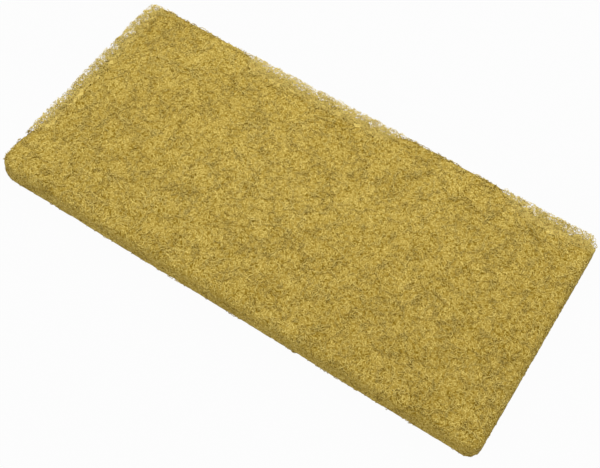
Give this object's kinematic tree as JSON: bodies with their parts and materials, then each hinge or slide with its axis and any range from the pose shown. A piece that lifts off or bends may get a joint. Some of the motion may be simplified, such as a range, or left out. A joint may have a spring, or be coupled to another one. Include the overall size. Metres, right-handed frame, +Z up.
{
  "type": "hand scrubbing pad",
  "caption": "Flat oblong hand scrubbing pad of open non-woven fibre web, with soft rounded edges and a pitted, springy surface.",
  "frame": {"origin": "centre of the pad's box in plan, at the face it rests on", "axes": "+X along the length, +Y across the width towards the looser long edge, +Z up through the thickness"},
  "size_m": [0.2536, 0.1177, 0.0159],
  "materials": {
    "web": "matt resin-bonded curly fibre web, tan yellow, with paler strands and darker openings"
  },
  "bodies": {
    "root": {"scrubbing_pad": "web"}
  },
  "joints": []
}
